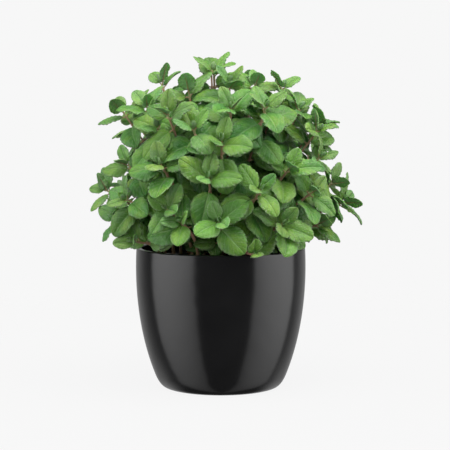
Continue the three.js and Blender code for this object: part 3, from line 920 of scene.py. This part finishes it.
def stem_points(shoot):
    """Rings of a rounded square along the curve: the distance to the side at angle a is one over
    the fifth root of |cos a|^5 + |sin a|^5."""
    share = np.linspace(0, 1, max(24, int(shoot.length / STEM_RING_MM)))
    path, direction = on_stem(shoot, share)
    foot = shoot.root * (1, 1, 0) + np.array([0, 0, SOIL_EDGE_Z - STEM_SUNK])
    path = np.concatenate([[foot], path])
    share = np.concatenate([[0], share])
    direction = np.concatenate([[[0, 0, 1]], [[0, 0, 1]], direction[1:]])
    away, level = across_stem(shoot, direction)
    half = mix(STEM_HALF_BASE, STEM_HALF_TIP, share)
    below_tip = shoot.length * (1 - share)
    for spacing in LEAF_SPACING[1:]:
        swell = np.exp(-(((below_tip - spacing) / JOINT_HALF_LENGTH_MM) ** 2))
        half = half * (1 + JOINT_SWELL * swell)
    angle = full_turn(STEM_AROUND) + np.pi / STEM_AROUND
    cos, sin = np.cos(angle), np.sin(angle)
    side = (np.abs(cos) ** CORNER_SHARPNESS + np.abs(sin) ** CORNER_SHARPNESS) ** (-1 / CORNER_SHARPNESS)
    circle = (away[:, None] * cos[:, None] + level[:, None] * sin[:, None]) * side[:, None]
    points = path[:, None] + circle * half[:, None, None]
    uv = together(angle / (2 * np.pi), share[:, None])
    look = np.broadcast_to(share[:, None, None], points.shape)
    return points, uv, look


print("rings in the first stem:", len(stem_points(shoots[0])[0]))

# %% [markdown]
# ## The growing tips
# Above the last pair of real leaves, a mint shoot ends in a bud: two or three pairs of leaves a few
# millimetres long that still stand together. They are too small for the solids.

# %% Bud leaves
BUD_LENGTHS = (8, 5.5, 3.5)
BUD_SPACING = (0.8, 0.4, 0.1)
BUD_LIFT = (68, 76, 83)
BUD_LENGTH_SPREAD = (0.85, 1.15)
BUD_SWING = (-12, 12)
BUD_DROOP = -0.5
BUD_WIDTH = 0.74
BUD_LEVEL = -1
UNSWAYED = np.array([[0.0, 0.0, 1.0]])


def new_leaf(number, level, spacing, turn, traits, sway=UNSWAYED):
    """One leaf that the solids don't have, in the place that a single row of sways gives it."""
    return leaf_at(number, level, leaf_frames(shoots[number], spacing, turn, traits, sway), 0, traits)


def bud_leaves(number, rng):
    """Three crossed pairs at a stem's end, each smaller and more upright than the last, bent in over
    the growing point."""
    buds = []
    for level, (length, spacing, lift) in enumerate(zip(BUD_LENGTHS, BUD_SPACING, BUD_LIFT)):
        for side in (0, 1):
            traits = SimpleNamespace(
                length=length * rng.uniform(*BUD_LENGTH_SPREAD), lift=lift, roll=0, face_out=0,
                swing=rng.uniform(*BUD_SWING), droop=BUD_DROOP, width=BUD_WIDTH,
            )
            turn = (level + 1) * math.pi / 2 + side * math.pi
            buds.append(new_leaf(number, BUD_LEVEL, spacing, turn, traits))
    return buds


# %% [markdown]
# Lower on the stems, where little light comes, a mint plant keeps smaller and darker leaves. They
# close the view through the bush. Each is tried in several places, and stays in the one that is
# furthest from all other leaves, or is left out where there is no room.

# %% Inner leaves
INNER_SPACING = (43, 67, 80, 94, 107, 120, 133, 146, 159)
INNER_LENGTH = (19, 26)
INNER_LIFT = (8, 30)
INNER_ROLL = (-0.3, 0.3)
INNER_SWING = (-15, 15)
INNER_FACE_OUT = 0.6
INNER_DROOP = (0.4, 0.9)
INNER_WIDTH = 0.78
INNER_LEVEL = 5
INNER_BARE_SHARE = 0.08
INNER_CLEAR_MM = 1.5
RIM_CLEAR_RADIUS = POT_RADIUS - POT_WALL - 4
LOWEST_OVER_RIM = POT_HEIGHT + 2.5
LOWEST_IN_POT = SOIL_EDGE_Z + SOIL_CROWN + 3
SAMPLE_PLACES = (np.linspace(0.06, 0.97, 9), np.array([-0.92, -0.5, 0, 0.5, 0.92]))
NEAR_MM = 25.0
FULL_SIZE_PLACES = 1 + 8 * len(SWAY_STEPS)


def samples_of(leaf):
    """A net of points over a leaf's middle sheet."""
    s, u = SAMPLE_PLACES
    point, _ = midrib_at(leaf, s)
    across = half_width(leaf, s)[:, None] * u
    return (point[:, None] + leaf.wide * across[..., None]).reshape(-1, 3)


def clearance(points, taken):
    """The least distance between a leaf's points and those taken, looking only near the leaf."""
    near = taken[np.linalg.norm(taken - points.mean(axis=0), axis=1) < NEAR_MM]
    if len(near) == 0:
        return NEAR_MM
    return float(np.linalg.norm(points[:, None] - near[None], axis=2).min())


def is_clear_of_pot(points):
    """Whether a leaf's points stay above the rim, or inside it and above the soil."""
    over_rim = np.hypot(points[:, 0], points[:, 1]) > RIM_CLEAR_RADIUS
    return bool((points[:, 2] > np.where(over_rim, LOWEST_OVER_RIM, LOWEST_IN_POT)).all())


def inner_leaves(rng):
    """Crossed pairs below the last pair of the solids, kept where they are clear of the rest."""
    taken = np.concatenate([samples_of(leaf) for leaf in leaves])
    found = []
    for number, shoot in enumerate(shoots):
        for step, spacing in enumerate(INNER_SPACING):
            if spacing > shoot.length * (1 - INNER_BARE_SHARE):
                continue
            for side in (0, 1):
                traits = SimpleNamespace(
                    length=rng.uniform(*INNER_LENGTH), lift=rng.uniform(*INNER_LIFT),
                    roll=rng.uniform(*INNER_ROLL), swing=rng.uniform(*INNER_SWING),
                    face_out=INNER_FACE_OUT, droop=rng.uniform(*INNER_DROOP), width=INNER_WIDTH,
                )
                turn = (step + INNER_LEVEL) * math.pi / 2 + side * math.pi
                tries = []
                for row in sway_table()[:FULL_SIZE_PLACES]:
                    leaf = new_leaf(number, INNER_LEVEL, spacing, turn, traits, row[None])
                    points = samples_of(leaf)
                    if is_clear_of_pot(points):
                        tries.append((clearance(points, taken), len(tries), leaf, points))
                if tries:
                    room, _, leaf, points = max(tries)
                    if room > INNER_CLEAR_MM:
                        found.append(leaf)
                        taken = np.concatenate([taken, points])
    return found


extra_leaves = inner_leaves(np.random.default_rng(77))
print("inner leaves:", len(extra_leaves))

# %% [markdown]
# ### Leaf skin
# A mint leaf's upper face is a fresh mid green with a soft, slightly waxy shine and short hairs that
# pale it at a glance. Young leaves are yellower and older ones deeper. Veins are lighter and lie in
# grooves, and the skin between them is quilted. The lower face is paler and matt. Light passes
# through the blade, so some of it is scattered below the surface.

# %% Leaf material
NET_MM = 2.6
PATCH_MM = 13
QUILT_BUMP_MM = 1.3
LEAF_GREENS = [(0.0, "#90ba6d"), (0.3, "#68a13d"), (0.65, "#4c8632"), (1.0, "#3a702b")]
PATCH_GREENS = [(0.38, "#2f6b3c"), (0.5, "#4f8938"), (0.62, "#80a63e")]
LEAF_SHADES = (0.8, 1.06)
LEAF_HUES = (0.49, 0.515)
LEAF_ROUGHNESS = (0.26, 0.44)


def vein_mask(node, across, along):
    """One on the midrib, about half on the side veins and nothing between them. Side veins leave the
    midrib forwards, so a vein is a line of equal (along - slant * distance from the midrib)."""
    offset = node("Math", across, 0.5, operation="SUBTRACT")
    to_midrib = node("Math", offset, operation="ABSOLUTE")
    distance = node("Math", to_midrib, 2.0, operation="MULTIPLY")
    bent_out = node("Math", distance, VEIN_BEND, operation="POWER")
    forward = node("Math", bent_out, VEIN_SLANT, operation="MULTIPLY")
    started = node("Math", along, forward, operation="SUBTRACT")
    counted = node("Math", started, SIDE_VEINS, operation="MULTIPLY")
    phase = node("Math", counted, operation="FRACT")
    off_phase = node("Math", phase, 0.5, operation="SUBTRACT")
    from_vein = node("Math", off_phase, operation="ABSOLUTE")
    side_vein = node("MapRange", from_vein, 0.36, 0.5, **SMOOTH)
    fainter = node("Math", side_vein, 0.55, operation="MULTIPLY")
    midrib = node("MapRange", distance, 0.09, 0.015, **SMOOTH)
    return node("Math", midrib, fainter, operation="MAXIMUM"), distance


def mint_leaf_skin():
    """Green by age, then one layer over another: patches, yellowing, a painted highlight on the
    margin, veins, painted shade along the sunken edges of the net, and the lower face. No two
    leaves have quite the same hue and brightness."""
    material, node = new_material("mint_leaf_skin")
    place = node("TexCoord").outputs["Object"]
    across, along, _ = node("SeparateXYZ", node("UVMap", uv_map="surface")).outputs
    tint, age, beneath = node("SeparateColor", node("Attribute", attribute_name="look")).outputs
    veins, distance = vein_mask(node, across, along)
    net_size = {"Vector": place, "Scale": 1000 / NET_MM}
    net = node("TexVoronoi", inputs=net_size, feature="DISTANCE_TO_EDGE")
    cloud = node("TexNoise", inputs={"Vector": place, "Scale": 1000 / PATCH_MM, "Detail": 2})
    patches = node("ValToRGB", cloud, stops=PATCH_GREENS)
    yellow = node("Math", tint, 2.0, operation="POWER")
    # painted highlight: the margin is paled as if it caught the light
    margin = node("MapRange", distance, 0.7, 1.0, **SMOOTH)
    # painted shade: the sunken edges of the net are darkened
    painted_hollow_shade = node("MapRange", net, 0.12, 0.0, **SMOOTH)
    pale_veins = node("Math", veins, 0.4, operation="MULTIPLY")
    lower = node("Mix", inputs={0: pale_veins, 6: "#96b887", 7: "#b8d1a8"}, **COLOURS)
    colour = node("ValToRGB", age, stops=LEAF_GREENS)
    # the margin's pale green is a painted highlight, and the net's dark green is painted shade
    for mask, strength, over in (
        (1.0, 0.46, patches), (yellow, 0.5, "#8aab42"), (margin, 0.42, "#a0c78c"),
        (veins, 0.45, "#a0c484"), (painted_hollow_shade, 0.22, "#2c5f2e"), (beneath, 0.9, lower),
    ):
        share = node("Math", mask, strength, operation="MULTIPLY")
        colour = node("Mix", inputs={0: share, 6: colour, 7: over}, **COLOURS)
    # the decimals of a multiple of the tint serve as another random number
    many, fewer = (node("Math", tint, times, operation="MULTIPLY") for times in (7.0, 3.0))
    shade = node("MapRange", node("Math", many, operation="FRACT"), 0, 1, *LEAF_SHADES)
    hue = node("MapRange", node("Math", fewer, operation="FRACT"), 0, 1, *LEAF_HUES)
    own_colour = node("HueSaturation", inputs={"Hue": hue, "Value": shade, "Color": colour})
    sunk = node("Math", veins, 0.6, operation="MULTIPLY")
    shallow_net = node("Math", net, 0.3, operation="MINIMUM")
    quilt = node("Math", shallow_net, sunk, operation="SUBTRACT")
    bump = node("Bump", inputs={"Height": quilt, "Distance": QUILT_BUMP_MM * MM, "Strength": 0.6})
    rough = node("MapRange", cloud, 0, 1, *LEAF_ROUGHNESS)
    looks = {
        "Base Color": own_colour, "Normal": bump, "Roughness": rough, "IOR": 1.42,
        "Sheen Weight": 0.06, "Sheen Roughness": 0.4, "Subsurface Weight": 0.34,
        "Subsurface Radius": (0.5, 1.0, 0.25), "Subsurface Scale": 1.6 * MM,
    }
    node("OutputMaterial", node("BsdfPrincipled", inputs=looks))
    return material


# %% [markdown]
# ### Stem skin
# Mint stems turn reddish brown where the sun reaches them and stay green and pink near the tip. The
# skin has a faint shine and fine lengthwise streaks.

# %% Stem material
STREAK_MM = 1.2
STREAK_HEIGHT = 0.2 * MM
STREAK_STRETCH = (1, 1, 0.15)
STEM_COLOURS = [
    (0.0, "#d2bf98"), (0.2, "#ccae8e"), (0.6, "#cfa08f"), (0.95, "#c6a68a"), (1.0, "#93b06c"),
]


def mint_stem_skin():
    """Pink-brown along the stem, pale tan at its foot and green at its tip, streaked along Z."""
    material, node = new_material("mint_stem_skin")
    share = node("SeparateColor", node("Attribute", attribute_name="look"))
    place = node("TexCoord").outputs["Object"]
    stretched = node("Mapping", inputs={"Vector": place, "Scale": STREAK_STRETCH})
    streak = node("TexNoise", inputs={"Vector": stretched, "Scale": 1000 / STREAK_MM, "Detail": 3})
    grown = node("ValToRGB", share, stops=STEM_COLOURS)
    darker = node("Mix", inputs={0: 1.0, 6: grown, 7: "#d3bfb2"}, blend_type="MULTIPLY", **COLOURS)
    colour = node("Mix", inputs={0: streak, 6: darker, 7: grown}, **COLOURS)
    bump = node("Bump", inputs={"Height": streak, "Distance": STREAK_HEIGHT, "Strength": 0.5})
    looks = {
        "Base Color": colour, "Normal": bump, "Roughness": 0.45, "Subsurface Weight": 0.15,
        "Subsurface Radius": (1.0, 0.5, 0.3), "Subsurface Scale": 0.8 * MM,
    }
    node("OutputMaterial", node("BsdfPrincipled", inputs=looks))
    return material


# %% [markdown]
# ## Putting each shoot together
# One piece for each leafy stem: the square stem, its petioles, its leaves and its bud. A leaf's
# character, such as how far it folds or waves, is drawn here, as is its tint. Its age follows
# from its place: the pair at the tip is the youngest.

# %% Leafy stems
AGE_OF_LEVEL = (0.05, 0.2, 0.45, 0.68, 0.85, 1.0)
AGE_SPREAD = (-0.15, 0.15)
LEAF_MATERIAL = 0
STEM_MATERIAL = 1
PETIOLE_LOOK = (0.96, 0, 0)
BLADE_SHAPES = {
    "fold": (-0.2, 0.26), "bulge": (0.08, 0.2), "wave": (0.03, 0.13), "turned_down": (0.02, 0.16),
    "phase": (0, 2 * np.pi), "twist": np.radians((-16, 16)), "curl": (-0.01, 0.06),
}
BUD_SHAPE = {"fold": 0.3, "bulge": 0.05, "wave": 0, "turned_down": 0, "twist": 0, "curl": 0}


def blade_shape(is_bud, rng):
    """How one blade folds, bulges, waves, turns down, twists and curls. A bud leaf is a plain cup."""
    if is_bud:
        return SimpleNamespace(**BUD_SHAPE, phase=rng.uniform(*BLADE_SHAPES["phase"]))
    return SimpleNamespace(**{trait: rng.uniform(*limits) for trait, limits in BLADE_SHAPES.items()})


def leaf_tubes(leaf, rng):
    """A leaf's blade and its petiole."""
    is_bud = leaf.level == BUD_LEVEL
    grid = BUD_BLADE if is_bud else INNER_BLADE if leaf.level == INNER_LEVEL else FULL_BLADE
    points, uv, beneath = blade_points(leaf, grid, blade_shape(is_bud, rng))
    age = 0 if is_bud else np.clip(AGE_OF_LEVEL[leaf.level] + rng.uniform(*AGE_SPREAD), 0, 1)
    tint = rng.random()
    look = together(tint, age, beneath.astype(float))
    blade = tube_of(points, uv, look, LEAF_MATERIAL)
    if is_bud:
        return [blade]
    petiole = tube_of(petiole_points(leaf), look=PETIOLE_LOOK, material=STEM_MATERIAL)
    return [blade, petiole]


leaf_skin, stem_skin = mint_leaf_skin(), mint_stem_skin()
triangles = 0
for number, shoot in enumerate(shoots):
    rng = np.random.default_rng(1000 + number)
    tubes = [tube_of(*stem_points(shoot), STEM_MATERIAL)]
    own = [leaf for leaf in leaves + extra_leaves if leaf.stem == number] + bud_leaves(number, rng)
    for leaf in own:
        tubes += leaf_tubes(leaf, rng)
    name = f"mint_shoot_{number + 1:02d}"
    piece = make_piece(name, tubes, [leaf_skin, stem_skin])
    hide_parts(f"leafy_stem_{number + 1:02d}")
    triangles += sum(len(polygon.vertices) - 2 for polygon in piece.data.polygons)
print("triangles in the foliage:", triangles)

# %% [markdown]
# ## The studio
# The pot is a black mirror, so the light has to be built as a photographer does it: a tall softbox
# on each side, which the glaze shows as two broad bands, a darker room in front, and a pale wall
# behind. All of that is drawn by direction in the world's light. A large softbox above lights the
# leaves. The camera itself sees a plain pale background, and the floor fades into it. Lengths in
# the studio are in metres.

# %% World
# Each box is its edge, middle and other edge, in degrees from the front. Heights are a direction's z.
BACKDROP = "#f7f7f7"
LEFT_BOX = (-105, -72, -35)
RIGHT_BOX = (46, 82, 116)
BOX_EDGE = 3
BOX_FADE = 54
BOX_LIGHT = 2.8
BOX_FOR_LEAVES = 0.55
BOX_LEAN = 0.45
BOX_HEIGHTS = (-1.1, 0.05)
WALL_FROM = 105
WALL_FULL = 146
WALL_LIGHT = 0.38
FLOOR_LIGHT = 0.7
FLOOR_HEIGHTS = (-0.38, -0.52)
FOOT_SHADE = (-0.85, -0.6)
ROOM_LIGHT = 0.11
ROOM_FOR_LEAVES = (0.15, 0.46)
ROOM_HEIGHTS = (-0.5, 0.6)


def box_band(node, angle, low, middle, high):
    """One softbox: nothing outside its edges, one at its middle, and less by the square of the angle
    from there."""
    opening = node("MapRange", angle, low - BOX_EDGE, low + BOX_EDGE, **SMOOTH)
    closing = node("MapRange", angle, high + BOX_EDGE, high - BOX_EDGE, **SMOOTH)
    between = node("Math", opening, closing, operation="MULTIPLY")
    from_middle = node("Math", angle, middle, operation="SUBTRACT")
    share = node("Math", from_middle, BOX_FADE, operation="DIVIDE")
    squared = node("Math", share, share, operation="MULTIPLY")
    hump = node("Math", 1.0, squared, operation="SUBTRACT")
    return node("Math", between, hump, operation="MULTIPLY")


def build_world():
    """Light by direction: two softboxes, the wall behind, the lit floor and the dim room."""
    world = bpy.data.worlds.new("studio")
    bpy.context.scene.world = world
    node = node_adder(world)
    path = node("LightPath").outputs
    mirrored = path["Is Glossy Ray"]
    x, y, z = node("SeparateXYZ", node("TexCoord").outputs["Generated"]).outputs
    to_front = node("Math", y, -1.0, operation="MULTIPLY")
    angle = node("Math", x, to_front, operation="ARCTAN2")
    # seen low in the glaze, the boxes draw in towards the front
    downwards = node("Math", z, -1.0, operation="MULTIPLY")
    below = node("Math", downwards, 0.0, operation="MAXIMUM")
    cubed = node("Math", below, 3.0, operation="POWER")
    widened = node("Math", cubed, BOX_LEAN, 1.0, operation="MULTIPLY_ADD")
    leaning = node("Math", angle, widened, operation="MULTIPLY")
    degrees = node("Math", leaning, operation="DEGREES")
    left, right = (box_band(node, degrees, *box) for box in (LEFT_BOX, RIGHT_BOX))
    boxes = node("Math", left, right, operation="ADD")
    reach_up = node("MapRange", z, *BOX_HEIGHTS)
    dimmed = node("MapRange", mirrored, 0, 1, BOX_FOR_LEAVES, 1)
    for factor in (BOX_LIGHT, reach_up, dimmed):
        boxes = node("Math", boxes, factor, operation="MULTIPLY")
    leaf_room = node("MapRange", z, *ROOM_HEIGHTS, *ROOM_FOR_LEAVES)
    room = node("MapRange", mirrored, 0, 1, leaf_room, ROOM_LIGHT)
    off_front = node("Math", degrees, operation="ABSOLUTE")
    wall_light = node("MapRange", off_front, WALL_FROM, WALL_FULL, **SMOOTH)
    # straight down, the glaze sees only the shade under its own foot
    open_floor = node("MapRange", z, *FOOT_SHADE, **SMOOTH)
    lit_floor = node("MapRange", z, *FLOOR_HEIGHTS, WALL_LIGHT, FLOOR_LIGHT)
    for factor in (open_floor, lit_floor):
        wall_light = node("Math", wall_light, factor, operation="MULTIPLY")
    total = boxes
    for part in (wall_light, room):
        total = node("Math", total, part, operation="ADD")
    studio = node("Background", inputs={"Strength": total})
    backdrop = node("Background", BACKDROP)
    node("OutputWorld", node("MixShader", path["Is Camera Ray"], studio, backdrop))


build_world()
print("world ready")


# %% Softbox above, floor and colour
def softbox(name, place, target, width, height, watts):
    """A rectangle of light at a place, turned to face its target. The camera doesn't see it."""
    light = bpy.data.lights.new(name, "AREA")
    light.shape = "RECTANGLE"
    light.size, light.size_y, light.energy = width, height, watts
    lamp = add_object(name, light)
    back = np.array(place, dtype=float) - np.array(target, dtype=float)
    lamp.location = place
    lamp.rotation_euler = (
        math.atan2(math.hypot(back[0], back[1]), back[2]), 0, math.atan2(back[0], -back[1])
    )
    lamp.visible_camera = False
    return lamp


softbox("softbox_above", (0.18, -0.5, 1.45), (0, 0, 0.2), 0.9, 0.8, 14.7)
fill = softbox("fill_from_the_front", (-0.2, -1.5, 0.9), (0, 0, 0.2), 1.4, 0.9, 4.3)
fill.visible_glossy = False

FLOOR_RADIUS = 0.9
FLOOR_SIDES = 96
FLOOR_FADE = (0.3, 0.75)
FLOOR_GLOW = 0.96


def pale_floor():
    """A pale disc that turns clear towards its edge, so that floor and background meet unseen. Most of
    its light is its own, as on a table lit from below, which leaves only a faint shadow."""
    angle = full_turn(FLOOR_SIDES)
    points = FLOOR_RADIUS * np.column_stack([np.cos(angle), np.sin(angle), np.zeros(FLOOR_SIDES)])
    mesh = bpy.data.meshes.new("floor")
    mesh.from_pydata(points.tolist(), [], [list(range(FLOOR_SIDES))])
    floor = add_object("floor", mesh)
    material, node = new_material("matt_paper_sweep")
    place = node("TexCoord").outputs["Object"]
    reach = node("VectorMath", place, operation="LENGTH")
    fade = node("MapRange", reach, *FLOOR_FADE, **SMOOTH)
    paper = node("BsdfDiffuse", "#dddddd")
    glow = node("Emission", BACKDROP)
    lit = node("MixShader", FLOOR_GLOW, paper, glow)
    clear = node("BsdfTransparent")
    node("OutputMaterial", node("MixShader", fade, lit, clear))
    mesh.materials.append(material)
    floor.visible_glossy = False
    floor.visible_diffuse = False


pale_floor()
bpy.context.scene.view_settings.view_transform = "Standard"
print("studio ready")
